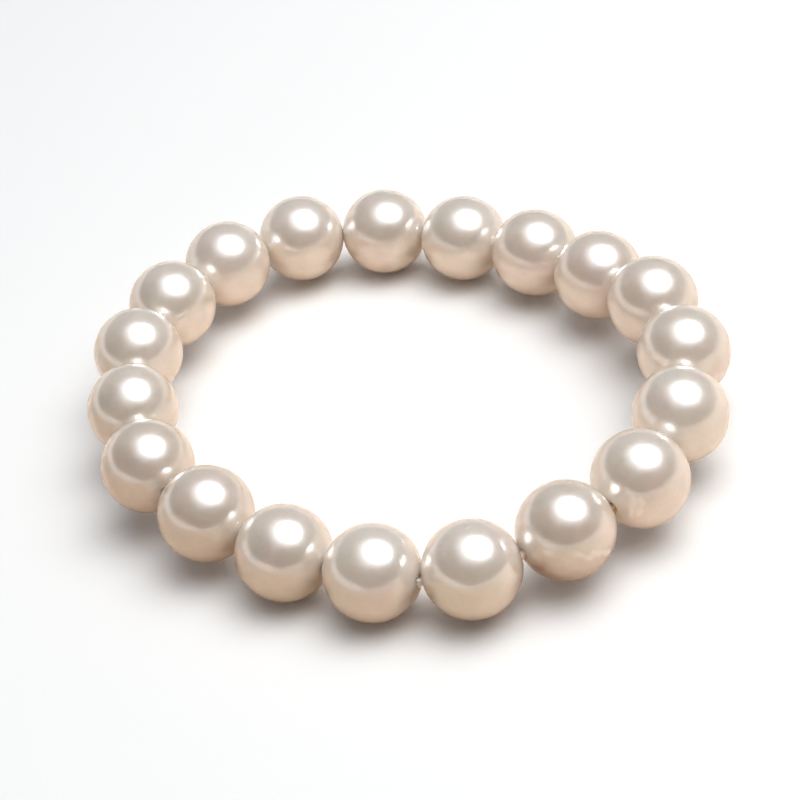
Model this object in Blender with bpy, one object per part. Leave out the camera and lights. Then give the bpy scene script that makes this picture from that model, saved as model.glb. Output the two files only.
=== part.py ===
"""Stretch bracelet of round drilled pearls on a knotted elastic cord, as it lies on a table.

Metres, +Z up, the table at z = 0 and the origin under the middle of the bracelet. pearl_01 lies
at the back (+Y), and the numbers run clockwise seen from above. The strand is a closed loop in
which each pearl touches the next, so its size follows from the pearls. The taut cord arches it
into a low saddle: it stands on two pearls at the back and two in front, and its sides rise.
"""
import math

import bmesh
import bpy
from mathutils import Matrix, Vector

# Pearls
PEARL_COUNT = 19
PEARL_DIAMETER = 0.0100
PEARL_GAP = 0.00005  # air between two pearls that touch
PEARL_SIDES = 16  # flats round the drilled hole, one of them turned down
PEARL_HALF_BANDS = 4  # rows of flats on each side of the middle row
PEARL_COLOR = (0.80, 0.62, 0.48)
PEARL_ROUGHNESS = 0.22

# Cord and drilled holes
CORD_DIAMETER = 0.0006
CORD_SIDES = 8
CORD_COLOR = (0.78, 0.70, 0.60)
CORD_ROUGHNESS = 0.35
HOLE_CLEARANCE = 0.0002  # air all round the cord in a hole
HOLE_CHAMFER = 0.00015  # width and depth of the bevel at each end of a hole

# Knot, which shows on the outside between two pearls
KNOT_AFTER_PEARL = 10
KNOT_DIAMETER = 0.0006
KNOT_CLEARANCE = 0.0001  # air between the knot and the two pearls
KNOT_NECK_DIAMETER = 0.0003
KNOT_SIDES = 12

# Lie of the strand: a row for each pearl of nineteen, read in between for another number
SADDLE_RISE = 0.0030  # height of the highest pearl above the table
FIRST_BEARING = math.radians(2.5)  # of pearl_01, clockwise from +Y
CORD_PULLS = 3  # rounds in which the taut cord turns the holes towards each other
CLOSING_ROUNDS = 60  # halvings of the mean radius until the loop closes
CLOSING_RANGE = (0.7, 1.3)  # of the mean radius, as shares of an even ring's
STRAND_ROUTE = (
    # distance from the middle as a share of the mean, rise as a share of SADDLE_RISE
    (1.03, 0.00),
    (0.95, 0.00),
    (0.90, 0.20),
    (0.90, 0.50),
    (0.96, 1.00),
    (1.02, 1.00),
    (1.06, 0.85),
    (1.08, 0.65),
    (1.07, 0.50),
    (1.05, 0.15),
    (0.98, 0.00),
    (0.92, 0.00),
    (0.92, 0.45),
    (0.96, 0.80),
    (0.96, 0.90),
    (1.00, 1.00),
    (1.04, 0.80),
    (1.08, 0.55),
    (1.09, 0.20),
)

PEARL_RADIUS = PEARL_DIAMETER / 2
PITCH = PEARL_DIAMETER + PEARL_GAP
HOLE_RADIUS = CORD_DIAMETER / 2 + HOLE_CLEARANCE
MOUTH_RADIUS = HOLE_RADIUS + HOLE_CHAMFER
MOUTH_REACH = math.sqrt(PEARL_RADIUS**2 - MOUTH_RADIUS**2)  # from a pearl's centre to a hole's end
MERGE_REACH = 1e-7  # points closer than this are one point
SHARP_ANGLE = math.radians(35)


def clear_scene():
    for item in list(bpy.data.objects):
        bpy.data.objects.remove(item, do_unlink=True)


def make_material(name, color, roughness):
    material = bpy.data.materials.new(name)
    material.use_nodes = True
    shader = material.node_tree.nodes["Principled BSDF"]
    shader.inputs["Base Color"].default_value = (*color, 1.0)
    shader.inputs["Roughness"].default_value = roughness
    shader.inputs["Metallic"].default_value = 0.0
    return material


def turned_mesh(name, profile, sides, closed):
    """Turn a profile of (along, from the axis) points round +X, with a flat facing down.

    The flats lie at the profile's distance from the axis, so the corners stand a little out.
    """
    shape = bmesh.new()
    corner = 1 / math.cos(math.pi / sides)
    points = [shape.verts.new((along, 0, -away * corner)) for along, away in profile]
    pairs = list(zip(points, points[1:]))
    if closed:
        pairs.append((points[-1], points[0]))
    edges = [shape.edges.new(pair) for pair in pairs]
    half_side = Matrix.Rotation(math.pi / sides, 3, "X")
    bmesh.ops.rotate(shape, verts=points, cent=(0, 0, 0), matrix=half_side)
    bmesh.ops.spin(shape, geom=points + edges, cent=(0, 0, 0), axis=(1, 0, 0),
                   angle=2 * math.pi, steps=sides, use_merge=True)
    bmesh.ops.remove_doubles(shape, verts=shape.verts, dist=MERGE_REACH)
    bmesh.ops.recalc_face_normals(shape, faces=shape.faces)
    mesh = bpy.data.meshes.new(name)
    shape.to_mesh(mesh)
    shape.free()
    mesh.shade_smooth()
    mesh.set_sharp_from_angle(angle=SHARP_ANGLE)
    return mesh


def pearl_mesh():
    """A ball with a drilled and chamfered hole along X; its middle row of flats touches the ball."""
    mouth_angle = math.asin(MOUTH_RADIUS / PEARL_RADIUS)
    bands = 2 * PEARL_HALF_BANDS + 1
    band_angle = (math.pi - 2 * mouth_angle) / bands
    profile = []
    for ring in range(bands + 1):
        angle = mouth_angle + ring * band_angle
        beside_middle = ring in (PEARL_HALF_BANDS, PEARL_HALF_BANDS + 1)
        reach = PEARL_RADIUS / math.cos(band_angle / 2) if beside_middle else PEARL_RADIUS
        profile.append((reach * math.cos(angle), reach * math.sin(angle)))
    bore_end = MOUTH_REACH - HOLE_CHAMFER
    profile += [(-bore_end, HOLE_RADIUS), (bore_end, HOLE_RADIUS)]
    return turned_mesh("pearl", profile, PEARL_SIDES, closed=True)


def route_row(number):
    """Radius share and rise of a pearl, read between the two nearest rows of the route."""
    place = number * len(STRAND_ROUTE) / PEARL_COUNT
    row = int(place)
    part = place - row
    here = STRAND_ROUTE[row]
    after = STRAND_ROUTE[(row + 1) % len(STRAND_ROUTE)]
    share, rise = [a + (b - a) * part for a, b in zip(here, after)]
    return share, rise * SADDLE_RISE


def strand_bearings(rows, mean_radius):
    """Bearings that put each pearl one pitch from the last, and the bearing back at the first."""
    bearings = [FIRST_BEARING]
    for (share, rise), (next_share, next_rise) in zip(rows, rows[1:] + rows[:1]):
        near = share * mean_radius
        far = next_share * mean_radius
        level = PITCH**2 - (next_rise - rise)**2
        step = math.acos((near**2 + far**2 - level) / (2 * near * far))
        bearings.append(bearings[-1] + step)
    return bearings


def strand_places():
    """Centres of the pearls, on the loop whose mean radius lets the last pearl meet the first."""
    rows = [route_row(number) for number in range(PEARL_COUNT)]
    even_radius = PITCH * PEARL_COUNT / (2 * math.pi)
    low, high = [share * even_radius for share in CLOSING_RANGE]
    for _ in range(CLOSING_ROUNDS):
        middle = (low + high) / 2
        bearings = strand_bearings(rows, middle)
        if bearings[-1] - bearings[0] > 2 * math.pi:
            low = middle
        else:
            high = middle
    places = []
    for (share, rise), bearing in zip(rows, bearings):
        radius = share * middle
        places.append(Vector((radius * math.sin(bearing), radius * math.cos(bearing),
                              PEARL_RADIUS + rise)))
    center = Vector((
        (min(p.x for p in places) + max(p.x for p in places)) / 2,
        (min(p.y for p in places) + max(p.y for p in places)) / 2,
        0))
    return [place - center for place in places]


def hole_axes(places):
    """Each hole points from the hole of the pearl before to that of the pearl after.

    Every round turns the holes towards where the neighbours' holes ended in the round before,
    and the first goes by the pearls' centres. A pearl that rests keeps its hole level.
    """
    count = len(places)
    axes = [Vector((0, 0, 0))] * count
    for _ in range(CORD_PULLS):
        turned = []
        for number, place in enumerate(places):
            after = (number + 1) % count
            hole_ahead = places[after] - axes[after] * MOUTH_REACH
            hole_behind = places[number - 1] + axes[number - 1] * MOUTH_REACH
            axis = hole_ahead - hole_behind
            if place.z <= PEARL_RADIUS:
                axis.z = 0
            turned.append(axis.normalized())
        axes = turned
    return axes


def upright_turn(axis):
    """Turn that lays local X along the axis and keeps local Z as upright as it can be."""
    side = Vector((0, 0, 1)).cross(axis).normalized()
    upward = axis.cross(side)
    return Matrix((axis, side, upward)).transposed()


def make_pearls(places, axes, parent, material):
    mesh = pearl_mesh()
    mesh.materials.append(material)
    for number, (place, axis) in enumerate(zip(places, axes), start=1):
        pearl = bpy.data.objects.new(f"pearl_{number:02d}", mesh)
        pearl.location = place
        pearl.rotation_euler = upright_turn(axis).to_euler()
        pearl.parent = parent
        bpy.context.collection.objects.link(pearl)


def cord_mesh(places, axes):
    """A closed round cord, straight through each hole and bent only between the holes' ends."""
    curve = bpy.data.curves.new("cord_route", "CURVE")
    curve.dimensions = "3D"
    curve.bevel_depth = CORD_DIAMETER / 2
    curve.bevel_resolution = CORD_SIDES // 2 - 2
    spline = curve.splines.new("POLY")
    spline.points.add(2 * len(places) - 1)
    spline.use_cyclic_u = True
    for number, (place, axis) in enumerate(zip(places, axes)):
        spline.points[2 * number].co = (*(place - axis * MOUTH_REACH), 1)
        spline.points[2 * number + 1].co = (*(place + axis * MOUTH_REACH), 1)
    route = bpy.data.objects.new("cord_route", curve)
    mesh = bpy.data.meshes.new_from_object(route)
    bpy.data.objects.remove(route, do_unlink=True)
    return mesh


def make_knot(places, axes, parent):
    """The knot and its neck, pointing out of the groove between two pearls, to be joined in."""
    before = (KNOT_AFTER_PEARL - 1) % len(places)
    after = (before + 1) % len(places)
    middle = (places[before] + places[after]) / 2
    along = (places[after] - places[before]).normalized()
    outward = along.cross(Vector((0, 0, 1))).normalized()
    outward *= math.copysign(1, outward.dot(middle))
    cord_point = (places[before] + axes[before] * MOUTH_REACH
                  + places[after] - axes[after] * MOUTH_REACH) / 2
    cord_point -= along * along.dot(cord_point - middle)
    ball_radius = KNOT_DIAMETER / 2
    neck_radius = KNOT_NECK_DIAMETER / 2
    to_pearl = PEARL_RADIUS + ball_radius + KNOT_CLEARANCE
    ball_reach = math.sqrt(to_pearl**2 - (PITCH / 2)**2) - (cord_point - middle).dot(outward)
    neck_angle = math.asin(neck_radius / ball_radius)
    profile = [(0, 0), (0, neck_radius)]
    arc_steps = KNOT_SIDES // 2
    for step in range(arc_steps + 1):
        angle = neck_angle + (math.pi - neck_angle) * step / arc_steps
        profile.append((ball_reach - ball_radius * math.cos(angle), ball_radius * math.sin(angle)))
    form = turned_mesh("knot_form", profile, KNOT_SIDES, closed=False)
    knot = bpy.data.objects.new("knot_form", form)
    knot.location = cord_point
    knot.rotation_euler = upright_turn(outward).to_euler()
    knot.parent = parent
    knot.hide_render = True
    knot.display_type = "WIRE"
    bpy.context.collection.objects.link(knot)
    return knot


def make_cord(places, axes, parent, material):
    cord = bpy.data.objects.new("elastic_cord", cord_mesh(places, axes))
    cord.data.materials.append(material)
    cord.data.shade_smooth()
    cord.parent = parent
    bpy.context.collection.objects.link(cord)
    knotted = cord.modifiers.new("knot", "BOOLEAN")
    knotted.operation = "UNION"
    knotted.solver = "EXACT"
    knotted.object = make_knot(places, axes, parent)


def main():
    clear_scene()
    bracelet = bpy.data.objects.new("bracelet", None)
    bpy.context.collection.objects.link(bracelet)
    nacre = make_material("pearl_nacre", PEARL_COLOR, PEARL_ROUGHNESS)
    elastic = make_material("pale_elastic", CORD_COLOR, CORD_ROUGHNESS)
    places = strand_places()
    axes = hole_axes(places)
    make_pearls(places, axes, bracelet, nacre)
    make_cord(places, axes, bracelet, elastic)


main()
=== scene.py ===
import math

import bmesh
import bpy
from mathutils import Matrix, Vector, noise


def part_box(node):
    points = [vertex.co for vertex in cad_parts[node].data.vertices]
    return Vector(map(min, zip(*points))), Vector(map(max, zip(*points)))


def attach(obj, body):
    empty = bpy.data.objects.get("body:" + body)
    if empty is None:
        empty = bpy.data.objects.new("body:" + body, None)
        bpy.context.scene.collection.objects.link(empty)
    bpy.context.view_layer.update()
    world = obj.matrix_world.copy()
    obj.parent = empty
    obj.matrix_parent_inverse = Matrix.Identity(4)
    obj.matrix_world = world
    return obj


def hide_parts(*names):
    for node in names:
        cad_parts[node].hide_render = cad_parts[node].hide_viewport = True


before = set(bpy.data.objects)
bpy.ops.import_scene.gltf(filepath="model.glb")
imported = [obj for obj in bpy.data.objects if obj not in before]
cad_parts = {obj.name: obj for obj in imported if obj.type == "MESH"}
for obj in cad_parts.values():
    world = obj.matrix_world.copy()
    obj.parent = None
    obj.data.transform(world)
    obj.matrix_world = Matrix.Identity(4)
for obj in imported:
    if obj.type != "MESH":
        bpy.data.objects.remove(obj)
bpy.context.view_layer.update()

print("frame loaded with", len(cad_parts), "solids")


# Colours, nodes and meshes

def hexColor(text):
    # an sRGB hex value as the linear colour that the shaders take
    shares = [int(text[place:place + 2], 16) / 255 for place in (1, 3, 5)]
    linear = [s / 12.92 if s <= 0.04045 else ((s + 0.055) / 1.055) ** 2.4 for s in shares]
    return (*linear, 1.0)


def addNode(tree, kind, settings=None, links=None):
    node = tree.nodes.new(kind)
    for name, value in (settings or {}).items():
        if isinstance(name, int) or name in node.inputs:
            node.inputs[name].default_value = value
        else:
            setattr(node, name, value)
    for name, source in (links or {}).items():
        tree.links.new(source, node.inputs[name])
    return node


def addNoise(tree, coords, size, detail, roughness=0.5):
    # noise in object coordinates, with features of about this size in m
    return addNode(tree, "ShaderNodeTexNoise",
                   {"Scale": 1 / size, "Detail": detail, "Roughness": roughness},
                   {"Vector": coords.outputs["Object"]})


def addRange(tree, source, fromRange, toRange=(0.0, 1.0), kind="LINEAR"):
    return addNode(tree, "ShaderNodeMapRange",
                   {"interpolation_type": kind, "From Min": fromRange[0], "From Max": fromRange[1],
                    "To Min": toRange[0], "To Max": toRange[1]},
                   {"Value": source})


def startMaterial(name):
    material = bpy.data.materials.new(name)
    material.use_nodes = True
    material.node_tree.nodes.clear()
    return material, material.node_tree


def finishMesh(shape, name):
    mesh = bpy.data.meshes.new(name)
    shape.to_mesh(mesh)
    shape.free()
    return mesh


def addObject(name, data):
    holder = bpy.data.objects.new(name, data)
    bpy.context.collection.objects.link(holder)
    return holder


# The strand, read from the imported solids

strand = {
    "pearlCount": 19,
    "pearlRadius": 0.0050,
    "mouthReach": 0.005022,  # from a pearl's centre to the end of its hole
    "restHeight": 0.00501,  # centres no higher than this belong to pearls that lie on the table
    "cordPulls": 3,
    "slantedHole": 8,  # this pearl was drilled wide and a little askew, so the mouth of its hole shows
    "slantedWay": (-0.745, -0.664, -0.060),
}


def readPlaces():
    places = []
    for number in range(1, strand["pearlCount"] + 1):
        low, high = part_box(f"pearl_{number:02d}")
        places.append((low + high) / 2)
    return places


def holeDirections(places):
    # the taut cord turns each hole towards its neighbours' holes, and a resting pearl's stays level
    count = len(places)
    directions = [Vector((0, 0, 0))] * count
    for _ in range(strand["cordPulls"]):
        turned = []
        for number, place in enumerate(places):
            after = (number + 1) % count
            holeAhead = places[after] - directions[after] * strand["mouthReach"]
            holeBehind = places[number - 1] + directions[number - 1] * strand["mouthReach"]
            direction = holeAhead - holeBehind
            if place.z <= strand["restHeight"]:
                direction.z = 0
            turned.append(direction.normalized())
        directions = turned
    directions[strand["slantedHole"] - 1] = Vector(strand["slantedWay"]).normalized()
    return directions


pearlPlaces = readPlaces()
pearlHoles = holeDirections(pearlPlaces)


def skinPoint(number, bearing, height):
    # a place on a pearl's skin, by degrees to the right of the front (-Y) and above the pearl's middle
    bearing, height = math.radians(bearing), math.radians(height)
    level = math.cos(height)
    away = Vector((math.sin(bearing) * level, -math.cos(bearing) * level, math.sin(height)))
    return pearlPlaces[number - 1] + away * strand["pearlRadius"]


def uprightTurn(direction):
    # lays local X along the direction and keeps local Z as upright as it can be
    side = Vector((0, 0, 1)).cross(direction).normalized()
    upward = direction.cross(side)
    return Matrix((direction, side, upward)).transposed()


# Materials of the pearls

nacre = {
    "bodyPale": "#e6d8ca",
    "bodyDeep": "#d9c7b6",
    "patchSize": 0.0042,  # m across a patch of rosy or greenish orient
    "rosy": "#e7d0c8",
    "rosyRange": (0.52, 0.72),  # of the patch noise, from none to the most of the tint
    "rosyMost": 0.45,
    "greenish": "#ddd5c0",
    "greenRange": (0.46, 0.28),
    "greenMost": 0.35,
    "metallic": 0.08,
    "roughness": 0.24,  # kept under 0.27, where the denoiser would speckle it
    "roughnessSpread": (-0.015, 0.020),
    "ior": 1.53,
    "coatRoughness": 0.21,
    "coatIor": 3.0,  # the stacked layers send back more light than one smooth surface would
    "translucency": 1.0,
    "lightReach": (0.0060, 0.0050, 0.0040),  # m that red, green and blue light travel in the body
    "noiseRange": (0.3, 0.7),  # where most values of a noise lie
    "grainSize": 0.00045,  # nacre tiles are microns wide, so their clusters are drawn coarser to show
    "grainShade": (0.975, 1.020),
    "grainHeight": 0.0000006,
    "waveSize": 0.0022,  # m between the slow waves in the skin
    "waveShade": (0.955, 1.035),
    "waveHeight": 0.000060,
    "paleTint": "#f6e8de",
    # painted shade: a deep brown that stands in for the shade and shadowed reflections at the bottom of a
    # pearl
    "brownTint": "#956a45",
    "modelledWidth": 0.00045,  # m of half width from which a blemish is raised in the mesh as well
    "markBend": 0.0008,  # m, twice the most that the noise bends a blemish aside
    "markBendSize": 0.0014,
    # blemishes that the photo shows, and one band of painted shade under pearl 9: the pearl, bearing and
    # height of the two ends in degrees, half width and rise in m, share and kind of tint
    "marks": (
        (10, (170, 86), (145, 75), 0.00018, 0.000035, 0.80, "paleTint"),
        (10, (17, 6), (18, 6), 0.00040, -0.000020, 0.15, "paleTint"),
        # painted shade, not a blemish: a wide brown band across the bottom of pearl 9
        (9, (-35, -21), (50, -27), 0.00310, 0.0, 1.0, "brownTint"),
        (9, (-30, 15), (7, 10), 0.00055, 0.000050, 0.70, "paleTint"),
        (9, (7, 10), (20, 0), 0.00055, 0.000050, 0.70, "paleTint"),
        (9, (24, 6), (48, -10), 0.00055, 0.000050, 0.70, "paleTint"),
        (8, (-17, 16), (-22, -8), 0.00060, 0.000020, 0.85, "paleTint"),
        (8, (-9, 15), (-12, -6), 0.00052, 0.000018, 0.75, "paleTint"),
        (8, (-62, 22), (-62, 23), 0.00022, -0.000015, 0.0, "paleTint"),
    ),
}


def addMark(tree, place, start, end, halfWidth):
    # 1 along the middle of a mark, whether a blemish or the band of painted shade, falling to 0 at its
    # sides
    run = end - start
    away = addNode(tree, "ShaderNodeVectorMath", {"operation": "SUBTRACT", 1: start},
                   {0: place})
    along = addNode(tree, "ShaderNodeVectorMath", {"operation": "DOT_PRODUCT", 1: run / run.length_squared},
                    {0: away.outputs["Vector"]})
    share = addNode(tree, "ShaderNodeClamp", links={"Value": along.outputs["Value"]})
    nearest = addNode(tree, "ShaderNodeVectorMath", {"operation": "SCALE", 0: run},
                      {"Scale": share.outputs["Result"]})
    gap = addNode(tree, "ShaderNodeVectorMath", {"operation": "DISTANCE"},
                  {0: away.outputs["Vector"], 1: nearest.outputs["Vector"]})
    return addRange(tree, gap.outputs["Value"], (halfWidth, 0.0), kind="SMOOTHSTEP")


def makeNacre():
    # thin clear pearly layers over a round core: the eye sees a deep soft lustre over a peach body,
    # with faint rosy and greenish orient
    material, tree = startMaterial("peachNacre")
    coords = addNode(tree, "ShaderNodeTexCoord")
    tone = addNode(tree, "ShaderNodeAttribute", {"attribute_name": "pearlTone"})
    body = addNode(tree, "ShaderNodeMixRGB",
                   {"Color1": hexColor(nacre["bodyPale"]), "Color2": hexColor(nacre["bodyDeep"])},
                   {"Fac": tone.outputs["Fac"]})
    patches = addNoise(tree, coords, nacre["patchSize"], 2.0, 0.45)
    rosyShare = addRange(tree, patches.outputs["Fac"], nacre["rosyRange"], (0.0, nacre["rosyMost"]))
    greenShare = addRange(tree, patches.outputs["Fac"], nacre["greenRange"], (0.0, nacre["greenMost"]))
    rosyBody = addNode(tree, "ShaderNodeMixRGB", {"Color2": hexColor(nacre["rosy"])},
                       {"Fac": rosyShare.outputs["Result"], "Color1": body.outputs["Color"]})
    orientBody = addNode(tree, "ShaderNodeMixRGB", {"Color2": hexColor(nacre["greenish"])},
                         {"Fac": greenShare.outputs["Result"], "Color1": rosyBody.outputs["Color"]})
    grain = addNoise(tree, coords, nacre["grainSize"], 3.0, 0.55)
    grainShade = addRange(tree, grain.outputs["Fac"], nacre["noiseRange"], nacre["grainShade"])
    waves = addNoise(tree, coords, nacre["waveSize"], 1.0, 0.4)
    waveShade = addRange(tree, waves.outputs["Fac"], nacre["noiseRange"], nacre["waveShade"])
    shade = addNode(tree, "ShaderNodeMath", {"operation": "MULTIPLY"},
                    {0: grainShade.outputs["Result"], 1: waveShade.outputs["Result"]})
    skinColor = addNode(tree, "ShaderNodeVectorMath", {"operation": "SCALE"},
                        {"Vector": orientBody.outputs["Color"], "Scale": shade.outputs["Value"]})
    gloss = addRange(tree, grain.outputs["Fac"], nacre["noiseRange"],
                     [nacre["roughness"] + spread for spread in nacre["roughnessSpread"]])
    bend = addNoise(tree, coords, nacre["markBendSize"], 2.0)
    aside = addNode(tree, "ShaderNodeVectorMath",
                    {"operation": "MULTIPLY_ADD", 1: (nacre["markBend"],) * 3,
                     2: (-nacre["markBend"] / 2,) * 3},
                    {0: bend.outputs["Color"]})
    bent = addNode(tree, "ShaderNodeVectorMath", {"operation": "ADD"},
                   {0: coords.outputs["Object"], 1: aside.outputs["Vector"]})
    color = skinColor.outputs["Vector"]
    height = None
    # each mark mixes in its tint: pale blemishes, and the brown band of painted shade on pearl 9
    for number, start, end, halfWidth, rise, amount, tint in nacre["marks"]:
        mark = addMark(tree, bent.outputs["Vector"], skinPoint(number, *start), skinPoint(number, *end),
                       halfWidth)
        stainAndPaintedShade = addNode(tree, "ShaderNodeMath", {"operation": "MULTIPLY", 1: amount},
                        {0: mark.outputs["Result"]})
        color = addNode(tree, "ShaderNodeMixRGB", {"Color2": hexColor(nacre[tint])},
                        {"Fac": stainAndPaintedShade.outputs["Value"], "Color1": color}).outputs["Color"]
        if halfWidth >= nacre["modelledWidth"]:
            rise /= 2
        relief = addNode(tree, "ShaderNodeMath", {"operation": "MULTIPLY_ADD", 1: rise, 2: 0.0},
                         {0: mark.outputs["Result"]})
        if height is not None:
            tree.links.new(height.outputs["Value"], relief.inputs[2])
        height = relief
    markBump = addNode(tree, "ShaderNodeBump", {"Strength": 1.0, "Distance": 1.0},
                       {"Height": height.outputs["Value"]})
    waveBump = addNode(tree, "ShaderNodeBump", {"Strength": 1.0, "Distance": nacre["waveHeight"]},
                       {"Height": waves.outputs["Fac"], "Normal": markBump.outputs["Normal"]})
    grainBump = addNode(tree, "ShaderNodeBump", {"Strength": 1.0, "Distance": nacre["grainHeight"]},
                        {"Height": grain.outputs["Fac"], "Normal": waveBump.outputs["Normal"]})
    shader = addNode(tree, "ShaderNodeBsdfPrincipled",
                     {"Metallic": nacre["metallic"], "IOR": nacre["ior"], "Coat Weight": 1.0,
                      "Coat Roughness": nacre["coatRoughness"], "Coat IOR": nacre["coatIor"],
                      "Subsurface Weight": nacre["translucency"],
                      "Subsurface Radius": nacre["lightReach"], "Subsurface Scale": 1.0},
                     {"Base Color": color, "Roughness": gloss.outputs["Result"],
                      "Normal": grainBump.outputs["Normal"]})
    addNode(tree, "ShaderNodeOutputMaterial", links={"Surface": shader.outputs["BSDF"]})
    return material


chalk = {
    "pale": "#f7efe6",
    "deep": "#dcc3a6",
    "chipSize": 0.00012,
    "chipHeight": 0.00001,
    "roughness": 0.5,
}


def makeCutNacre():
    # nacre cut by the drill: the broken edge of the layers looks white and chalky
    material, tree = startMaterial("drilledNacreEdge")
    coords = addNode(tree, "ShaderNodeTexCoord")
    chips = addNoise(tree, coords, chalk["chipSize"], 3.0)
    color = addNode(tree, "ShaderNodeMixRGB",
                    {"Color1": hexColor(chalk["pale"]), "Color2": hexColor(chalk["deep"])},
                    {"Fac": chips.outputs["Fac"]})
    bump = addNode(tree, "ShaderNodeBump", {"Strength": 1.0, "Distance": chalk["chipHeight"]},
                   {"Height": chips.outputs["Fac"]})
    shader = addNode(tree, "ShaderNodeBsdfPrincipled",
                     {"Roughness": chalk["roughness"], "IOR": nacre["ior"],
                      "Subsurface Weight": nacre["translucency"],
                      "Subsurface Radius": nacre["lightReach"], "Subsurface Scale": 1.0},
                     {"Base Color": color.outputs["Color"], "Normal": bump.outputs["Normal"]})
    addNode(tree, "ShaderNodeOutputMaterial", links={"Surface": shader.outputs["BSDF"]})
    return material


bore = {
    "pale": "#f6e6c2",
    "deep": "#e3c795",
    "streakSize": 0.0002,
    "streakHeight": 0.00001,
    "roughness": 0.6,
}


def makeBoreWall():
    # inside of the hole, where the drill warmed the layers: matt pale gold, a little deeper in streaks
    material, tree = startMaterial("scorchedBore")
    coords = addNode(tree, "ShaderNodeTexCoord")
    streaks = addNoise(tree, coords, bore["streakSize"], 2.0)
    color = addNode(tree, "ShaderNodeMixRGB",
                    {"Color1": hexColor(bore["pale"]), "Color2": hexColor(bore["deep"])},
                    {"Fac": streaks.outputs["Fac"]})
    bump = addNode(tree, "ShaderNodeBump", {"Strength": 1.0, "Distance": bore["streakHeight"]},
                   {"Height": streaks.outputs["Fac"]})
    shader = addNode(tree, "ShaderNodeBsdfPrincipled",
                     {"Roughness": bore["roughness"], "Subsurface Weight": nacre["translucency"],
                      "Subsurface Radius": nacre["lightReach"], "Subsurface Scale": 1.0},
                     {"Base Color": color.outputs["Color"], "Normal": bump.outputs["Normal"]})
    addNode(tree, "ShaderNodeOutputMaterial", links={"Surface": shader.outputs["BSDF"]})
    return material


nacreSkin = makeNacre()
cutNacre = makeCutNacre()
boreWall = makeBoreWall()
print("pearl materials made")


# Pearls

pearl = {
    "lengthwise": 1.0131,  # pearls are a touch longer along their holes, so neighbours' rims touch
    "mouthRadius": 0.00065,
    "wideMouthRadius": 0.00090,
    "chamfer": 0.00015,
    "wideChamfer": 0.00045,
    "chalkyChamfer": 0.95,  # share of the width of the chamfer, from its rim, that is chalky
    "chalkyTo": 0.98,  # share of the mouth's radius at which the chalky edge ends
    # the wide mouth is scorched right up to its rim, and only the rim is chalky
    "wideScorchedTo": 0.96,
    "wideChalkyTo": 1.06,
    "arcSteps": 48,
    "turnSteps": 84,
    "mouthRounding": 0.00006,
    "mouthRoundingSteps": 3,
    "mergeReach": 1e-7,
    "rimMatch": 1e-6,
    "noiseSteps": (7.3, 3.1, 5.7),  # how far apart two pearls read the noise
    "secondNoise": 1.7,
    "dip": 0.00004,  # deepest dip of the grown skin below a true ball
    "dipSpacing": 0.0040,
    "flattening": 0.006,  # most that a pearl is out of round across its hole, as a share
    "keptMouth": 1.01,  # the skin is left as it is up to this share of the mouth's radius
    "fadeReach": 0.4,  # share of the pearl's radius over which dips and flattening come in from the mouth
    "tones": (0.4, 0.2, 0.5, 0.7, 0.6, 0.5, 0.3, 0.5, 0.8, 0.3,
              0.2, 0.5, 0.8, 0.9, 0.5, 0.3, 0.3, 0.2, 0.3),
    # how much larger across than its 10 mm each pearl is, as a share in steps of half a percent
    "extraWidths": (0.010, 0.005, 0.005, 0.005, 0.000, 0.000, 0.015, 0.020, 0.010, 0.005,
                    0.005, 0.005, 0.015, 0.000, 0.000, 0.000, 0.005, 0.005, 0.020),
}


def ballProfile(shape, mouthRadius, chamfer):
    # the skin from mouth to mouth, then the bevelled edge and the bore back to the start
    radius = strand["pearlRadius"]
    mouthAngle = math.asin(mouthRadius / radius)
    reach = radius * math.cos(mouthAngle)
    start = shape.verts.new((reach, 0, mouthRadius))
    arc = bmesh.ops.spin(shape, geom=[start], cent=(0, 0, 0), axis=(0, -1, 0),
                         angle=math.pi - 2 * mouthAngle, steps=pearl["arcSteps"])
    tip = [v for v in arc["geom_last"] if isinstance(v, bmesh.types.BMVert)]
    for step in ((chamfer, 0, -chamfer), (2 * (reach - chamfer), 0, 0), (chamfer, 0, chamfer)):
        tip = bmesh.ops.extrude_vert_indiv(shape, verts=tip)["verts"]
        bmesh.ops.translate(shape, verts=tip, vec=step)
    bmesh.ops.remove_doubles(shape, verts=shape.verts, dist=pearl["mergeReach"])


def growSkin(shape, number, mouthRadius, rests):
    # a pearl is near-round: slightly flat across the hole, with slow shallow dips
    seed = Vector([number * step for step in pearl["noiseSteps"]])
    extra = pearl["extraWidths"][number - 1]
    flatY = 1 + extra - pearl["flattening"] * (0.5 + 0.5 * noise.noise(seed))
    flatZ = 1 - pearl["flattening"] * (0.5 + 0.5 * noise.noise(seed * pearl["secondNoise"]))
    if not rests:
        flatZ += extra
    for vertex in shape.verts:
        away = math.hypot(vertex.co.y, vertex.co.z)
        if away < mouthRadius * pearl["keptMouth"]:
            continue
        fade = min(1, (away - mouthRadius) / (strand["pearlRadius"] * pearl["fadeReach"]))
        wave = noise.noise(vertex.co / pearl["dipSpacing"] + seed)
        length = vertex.co.length
        vertex.co *= (length - pearl["dip"] * fade * (0.5 + 0.5 * wave)) / length
        vertex.co.y *= 1 - (1 - flatY) * fade
        vertex.co.z *= 1 - (1 - flatZ) * fade


def raiseMarks(shape, number, place):
    # the wide folds and streaks stand out of the skin itself
    for marked, start, end, halfWidth, rise, *_ in nacre["marks"]:
        if marked != number or halfWidth < nacre["modelledWidth"]:
            continue
        start, end = skinPoint(number, *start), skinPoint(number, *end)
        run = end - start
        for vertex in shape.verts:
            share = min(1, max(0, (vertex.co - start).dot(run) / run.length_squared))
            closeness = max(0, 1 - (vertex.co - start - run * share).length / halfWidth)
            height = rise * closeness * closeness * (3 - 2 * closeness)
            vertex.co += (vertex.co - place).normalized() * height


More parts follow.
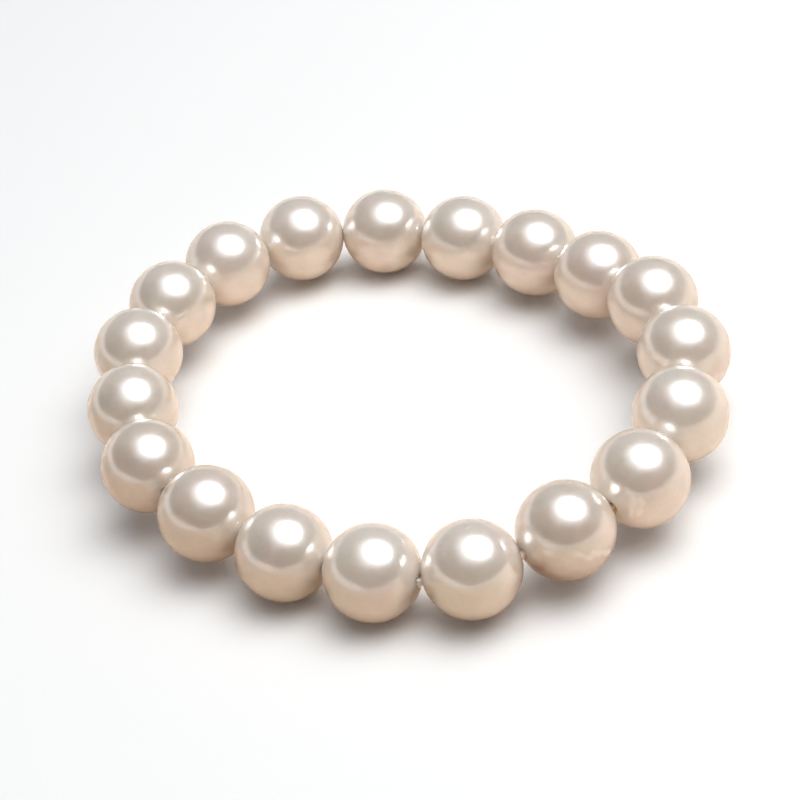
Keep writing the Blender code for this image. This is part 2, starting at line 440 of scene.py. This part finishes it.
def makePearl(number, place, direction):
    mouthRadius, chamfer = pearl["mouthRadius"], pearl["chamfer"]
    scorchedTo = mouthRadius - chamfer * pearl["chalkyChamfer"]
    chalkyTo = mouthRadius * pearl["chalkyTo"]
    if number == strand["slantedHole"]:
        mouthRadius, chamfer = pearl["wideMouthRadius"], pearl["wideChamfer"]
        scorchedTo = mouthRadius * pearl["wideScorchedTo"]
        chalkyTo = mouthRadius * pearl["wideChalkyTo"]
    shape = bmesh.new()
    ballProfile(shape, mouthRadius, chamfer)
    bmesh.ops.spin(shape, geom=shape.verts[:] + shape.edges[:], cent=(0, 0, 0), axis=(1, 0, 0),
                   angle=2 * math.pi, steps=pearl["turnSteps"], use_merge=True)
    bmesh.ops.remove_doubles(shape, verts=shape.verts, dist=pearl["mergeReach"])
    mouthEdges = [edge for edge in shape.edges
                  if all(abs(math.hypot(v.co.y, v.co.z) - mouthRadius) < pearl["rimMatch"]
                         for v in edge.verts)]
    bmesh.ops.bevel(shape, geom=mouthEdges, offset=pearl["mouthRounding"],
                    segments=pearl["mouthRoundingSteps"], profile=0.5, affect="EDGES", material=-1)
    bmesh.ops.recalc_face_normals(shape, faces=shape.faces)
    for face in shape.faces:
        middle = face.calc_center_median()
        away = math.hypot(middle.y, middle.z)
        face.smooth = True
        if away < scorchedTo:
            face.material_index = 2
        elif away < chalkyTo:
            face.material_index = 1
    growSkin(shape, number, mouthRadius, rests=place.z <= strand["restHeight"])
    bmesh.ops.scale(shape, verts=shape.verts, vec=(pearl["lengthwise"], 1, 1))
    bmesh.ops.transform(shape, verts=shape.verts,
                        matrix=Matrix.Translation(place) @ uprightTurn(direction).to_4x4())
    raiseMarks(shape, number, place)
    mesh = finishMesh(shape, f"pearlBead_{number:02d}")
    for material in (nacreSkin, cutNacre, boreWall):
        mesh.materials.append(material)
    tone = mesh.attributes.new("pearlTone", "FLOAT", "POINT")
    tone.data.foreach_set("value", [pearl["tones"][number - 1]] * len(mesh.vertices))
    bead = addObject(f"pearlBead_{number:02d}", mesh)
    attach(bead, "root")
    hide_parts(f"pearl_{number:02d}")


for number, (place, direction) in enumerate(zip(pearlPlaces, pearlHoles), start=1):
    makePearl(number, place, direction)
print("pearls made")


# Elastic thread and its knot

thread = {
    "radius": 0.00036,
    "roundness": 4,
    "pale": "#f7e4d8",
    "deep": "#e8cbbc",
    "lightReach": (0.0006, 0.0005, 0.0004),  # m that red, green and blue light travel in the thread
    "ior": 1.35,
    "hazeSize": 0.0004,
    "hazeHeight": 0.000006,
    "roughnessRange": (0.70, 0.80),
    "knotAfter": 10,  # the knot sits between this pearl and the next
    "knotReach": 0.00198,  # from the line of the pearls' centres out to the knot
    "strandRadius": 0.00010,
    "strandSides": 12,
    "loopWidth": 0.00050,
    "loopHeight": 0.00076,
    "loopSteps": 32,
    "ballRadius": 0.00019,
    "ballSides": (24, 16),
    "ballAbove": 0.00006,  # m that the ball's middle is above the loop's top
    "ballInward": 0.0001,
    "mergeReach": 1e-7,
}


def makeElastic():
    # clear polyurethane stretch thread, extruded round: milky, with a dull waxy surface
    material, tree = startMaterial("milkyElastic")
    coords = addNode(tree, "ShaderNodeTexCoord")
    haze = addNoise(tree, coords, thread["hazeSize"], 2.0)
    color = addNode(tree, "ShaderNodeMixRGB",
                    {"Color1": hexColor(thread["pale"]), "Color2": hexColor(thread["deep"])},
                    {"Fac": haze.outputs["Fac"]})
    gloss = addRange(tree, haze.outputs["Fac"], (0.0, 1.0), thread["roughnessRange"])
    bump = addNode(tree, "ShaderNodeBump", {"Strength": 1.0, "Distance": thread["hazeHeight"]},
                   {"Height": haze.outputs["Fac"]})
    shader = addNode(tree, "ShaderNodeBsdfPrincipled",
                     {"IOR": thread["ior"], "Subsurface Weight": 1.0,
                      "Subsurface Radius": thread["lightReach"], "Subsurface Scale": 1.0},
                     {"Base Color": color.outputs["Color"], "Roughness": gloss.outputs["Result"],
                      "Normal": bump.outputs["Normal"]})
    addNode(tree, "ShaderNodeOutputMaterial", links={"Surface": shader.outputs["BSDF"]})
    return material


elastic = makeElastic()


def makeThread(places, directions):
    route = bpy.data.curves.new("threadRoute", "CURVE")
    route.dimensions = "3D"
    route.bevel_depth = thread["radius"]
    route.bevel_resolution = thread["roundness"]
    spline = route.splines.new("POLY")
    spline.points.add(2 * len(places) - 1)
    spline.use_cyclic_u = True
    for number, (place, direction) in enumerate(zip(places, directions)):
        spline.points[2 * number].co = (*(place - direction * strand["mouthReach"]), 1)
        spline.points[2 * number + 1].co = (*(place + direction * strand["mouthReach"]), 1)
    holder = bpy.data.objects.new("threadRoute", route)
    mesh = bpy.data.meshes.new_from_object(holder)
    bpy.data.objects.remove(holder, do_unlink=True)
    mesh.name = "elasticThread"
    mesh.materials.clear()
    mesh.materials.append(elastic)
    mesh.shade_smooth()
    piece = addObject("elasticThread", mesh)
    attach(piece, "root")
    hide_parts("elastic_cord")


def makeKnot(places):
    # a tight ball where the ends are tied, with a small closed loop of the thinner end below it
    before = places[thread["knotAfter"] - 1]
    after = places[thread["knotAfter"]]
    middle = (before + after) / 2
    along = (after - before).normalized()
    outward = along.cross(Vector((0, 0, 1))).normalized()
    if outward.dot(middle) < 0:
        outward = -outward
    upward = outward.cross(along).normalized()
    if upward.z < 0:
        upward = -upward
    place = middle + outward * thread["knotReach"]
    knot = bmesh.new()
    halfWidth = thread["loopWidth"] / 2
    ring = bmesh.ops.create_circle(knot, cap_ends=False, radius=thread["strandRadius"],
                                   segments=thread["strandSides"])["verts"]
    bmesh.ops.rotate(knot, verts=ring, cent=(0, 0, 0), matrix=Matrix.Rotation(math.pi / 2, 3, "X"))
    bmesh.ops.translate(knot, verts=ring, vec=(halfWidth - thread["strandRadius"], 0, 0))
    bmesh.ops.spin(knot, geom=knot.verts[:] + knot.edges[:], cent=(0, 0, 0), axis=(0, 0, 1),
                   angle=2 * math.pi, steps=thread["loopSteps"], use_merge=True)
    bmesh.ops.remove_doubles(knot, verts=knot.verts, dist=thread["mergeReach"])
    bmesh.ops.scale(knot, verts=knot.verts, vec=(1, thread["loopHeight"] / thread["loopWidth"], 1))
    ball = bmesh.ops.create_uvsphere(knot, u_segments=thread["ballSides"][0],
                                     v_segments=thread["ballSides"][1],
                                     radius=thread["ballRadius"])["verts"]
    ballPlace = (0, thread["loopHeight"] / 2 + thread["ballAbove"], -thread["ballInward"])
    bmesh.ops.translate(knot, verts=ball, vec=ballPlace)
    bmesh.ops.recalc_face_normals(knot, faces=knot.faces)
    turn = Matrix((along, upward, outward)).transposed().to_4x4()
    bmesh.ops.transform(knot, verts=knot.verts, matrix=Matrix.Translation(place) @ turn)
    mesh = finishMesh(knot, "threadKnot")
    mesh.shade_smooth()
    mesh.materials.append(elastic)
    piece = addObject("threadKnot", mesh)
    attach(piece, "root")


makeThread(pearlPlaces, pearlHoles)
makeKnot(pearlPlaces)
print("thread and knot made")


# Table

table = {
    "size": 6.0,
    "color": "#f8f6f3",
    # painted bounce light and painted shade: rays other than the camera's see the card warm, darker towards
    # the front left, in place of the warm light that the pearls' undersides get back from the card and the
    # shade at the front left
    "bounceFrontPaintedShade": "#dcc4ac",
    "bounceBack": "#f5e3d2",
    "bounceWay": (0.6, 0.8, 0.0),
    "bounceFade": (-0.040, -0.012),
}


def makeTable():
    shape = bmesh.new()
    bmesh.ops.create_grid(shape, x_segments=1, y_segments=1, size=table["size"] / 2)
    mesh = finishMesh(shape, "table")
    material, tree = startMaterial("paleCardWithPaintedBounce")
    ray = addNode(tree, "ShaderNodeLightPath")
    coords = addNode(tree, "ShaderNodeTexCoord")
    reach = addNode(tree, "ShaderNodeVectorMath", {"operation": "DOT_PRODUCT", 1: table["bounceWay"]},
                    {0: coords.outputs["Object"]})
    back = addRange(tree, reach.outputs["Value"], table["bounceFade"], kind="SMOOTHSTEP")
    bounce = addNode(tree, "ShaderNodeMixRGB",
                     {"Color1": hexColor(table["bounceFrontPaintedShade"]), "Color2": hexColor(table["bounceBack"])},
                     {"Fac": back.outputs["Result"]})
    # the camera sees the plain pale card, and the painted warm bounce and front-left shade show only in
    # reflections and bounces
    color = addNode(tree, "ShaderNodeMixRGB", {"Color2": hexColor(table["color"])},
                    {"Fac": ray.outputs["Is Camera Ray"], "Color1": bounce.outputs["Color"]})
    shader = addNode(tree, "ShaderNodeBsdfDiffuse", links={"Color": color.outputs["Color"]})
    addNode(tree, "ShaderNodeOutputMaterial", links={"Surface": shader.outputs["BSDF"]})
    mesh.materials.append(material)
    piece = addObject("table", mesh)


makeTable()


# Soft studio light

studio = {
    "boxHeight": 0.60,
    "boxSize": (1.40, 1.20),
    "boxPlace": (0.30, 0.02),
    # where the light of the box begins and is full, in m: left and right, then front and back
    "boxFades": ((-0.40, 0.22), (0.90, 0.22), (-0.60, 0.00), (0.51, 0.02)),
    # the two parts of the box's light hang a little apart, so that neither hides the other
    "lampGap": 0.01,
    "glowRadiance": 5.25,
    "glowColor": (1.0, 1.0, 1.0),
    "shineRadiance": 3.8,
    "shineColor": (0.93, 1.0, 1.06),
    "shineCore": 4.5,  # how much brighter the cloth is right in front of the lamp
    "corePlace": (0.25, 0.0),
    "coreFade": (0.38, 0.06),  # m from the lamp at which the brighter cloth begins and is full
    "roomDim": (0.01, 0.03, 0.06),
    "roomBright": (0.16, 0.21, 0.26),
    "brightSide": (0.35, 0.94, 0.0),
    "brightFade": (-0.3, 0.8),
    "lowBand": (1.00, 0.97, 0.93),
    "lowBandTop": 0.14,  # sine of the height of a pale strip of wall above the table
    "lowBandSoftness": 0.08,
    "lowBandLeft": 0.15,  # more on the left
    "leftFade": (-0.2, -0.7),
    # high enough for the small white highlights that neighbouring pearls reflect in each other
    "highlightClamp": 60,
}


def makeSoftbox(name, radiance, color, seenInGloss):
    light = bpy.data.lights.new(name, "AREA")
    light.shape = "RECTANGLE"
    light.size, light.size_y = studio["boxSize"]
    light.color = color
    light.energy = radiance * math.pi * light.size * light.size_y
    light.use_nodes = True
    tree = light.node_tree
    emission = tree.nodes["Emission"]
    place = addNode(tree, "ShaderNodeNewGeometry")
    axes = addNode(tree, "ShaderNodeSeparateXYZ", links={"Vector": place.outputs["Position"]})
    glow = None
    for side, fade in enumerate(studio["boxFades"]):
        # the cloth glows evenly in the middle and fades towards its edges
        share = addRange(tree, axes.outputs["X" if side < 2 else "Y"], fade, kind="SMOOTHSTEP")
        if glow is None:
            glow = share
        else:
            glow = addNode(tree, "ShaderNodeMath", {"operation": "MULTIPLY"},
                           {0: glow.outputs[0], 1: share.outputs["Result"]})
    if seenInGloss:
        middle = addNode(tree, "ShaderNodeVectorMath",
                         {"operation": "DISTANCE", 1: (*studio["corePlace"], studio["boxHeight"])},
                         {0: place.outputs["Position"]})
        core = addRange(tree, middle.outputs["Value"], studio["coreFade"], (1.0, studio["shineCore"]),
                        kind="SMOOTHSTEP")
        glow = addNode(tree, "ShaderNodeMath", {"operation": "MULTIPLY"},
                       {0: glow.outputs[0], 1: core.outputs["Result"]})
    tree.links.new(glow.outputs[0], emission.inputs["Strength"])
    lamp = addObject(name, light)
    lamp.location = (*studio["boxPlace"], studio["boxHeight"] + (0 if seenInGloss else studio["lampGap"]))
    lamp.visible_glossy = seenInGloss
    lamp.visible_diffuse = not seenInGloss


def makeRoom():
    # a dim room in front and to the left, a brighter wall behind and to the right
    world = bpy.data.worlds.new("studioRoom")
    bpy.context.scene.world = world
    world.use_nodes = True
    tree = world.node_tree
    tree.nodes.clear()
    coords = addNode(tree, "ShaderNodeTexCoord")
    towards = addNode(tree, "ShaderNodeVectorMath", {"operation": "DOT_PRODUCT", 1: studio["brightSide"]},
                      {0: coords.outputs["Generated"]})
    share = addRange(tree, towards.outputs["Value"], studio["brightFade"], kind="SMOOTHSTEP")
    axes = addNode(tree, "ShaderNodeSeparateXYZ", links={"Vector": coords.outputs["Generated"]})
    left = addRange(tree, axes.outputs["X"], studio["leftFade"], (0.0, studio["lowBandLeft"]),
                    kind="SMOOTHSTEP")
    height = addNode(tree, "ShaderNodeMath", {"operation": "SUBTRACT"},
                     {0: axes.outputs["Z"], 1: left.outputs["Result"]})
    bandFade = (studio["lowBandTop"], studio["lowBandTop"] - studio["lowBandSoftness"])
    low = addRange(tree, height.outputs["Value"], bandFade, kind="SMOOTHSTEP")
    walls = addNode(tree, "ShaderNodeMixRGB",
                    {"Color1": (*studio["roomDim"], 1), "Color2": (*studio["roomBright"], 1)},
                    {"Fac": share.outputs["Result"]})
    color = addNode(tree, "ShaderNodeMixRGB", {"Color2": (*studio["lowBand"], 1)},
                    {"Fac": low.outputs["Result"], "Color1": walls.outputs["Color"]})
    background = addNode(tree, "ShaderNodeBackground", links={"Color": color.outputs["Color"]})
    addNode(tree, "ShaderNodeOutputWorld", links={"Surface": background.outputs["Background"]})


makeSoftbox("softboxGlow", studio["glowRadiance"], studio["glowColor"], False)
makeSoftbox("softboxShine", studio["shineRadiance"], studio["shineColor"], True)
makeRoom()
bpy.context.scene.view_settings.view_transform = "Standard"
bpy.context.scene.cycles.sample_clamp_indirect = studio["highlightClamp"]
print("table and light made")


# Camera

view = {
    "lens": 101.23,
    "sensor": 36.0,
    "nearest": 0.01,
    "place": (-0.000908, -0.196087, 0.153495),
    "downward": math.radians(37.462),
    "roll": math.radians(-9.838),
}


def makeCamera():
    data = bpy.data.cameras.new("photoCamera")
    data.lens = view["lens"]
    data.sensor_width = view["sensor"]
    data.clip_start = view["nearest"]
    camera = addObject("photoCamera", data)
    camera.matrix_world = (Matrix.Translation(view["place"])
                           @ Matrix.Rotation(math.pi / 2 - view["downward"], 4, "X")
                           @ Matrix.Rotation(view["roll"], 4, "Z"))
    bpy.context.scene.camera = camera


makeCamera()
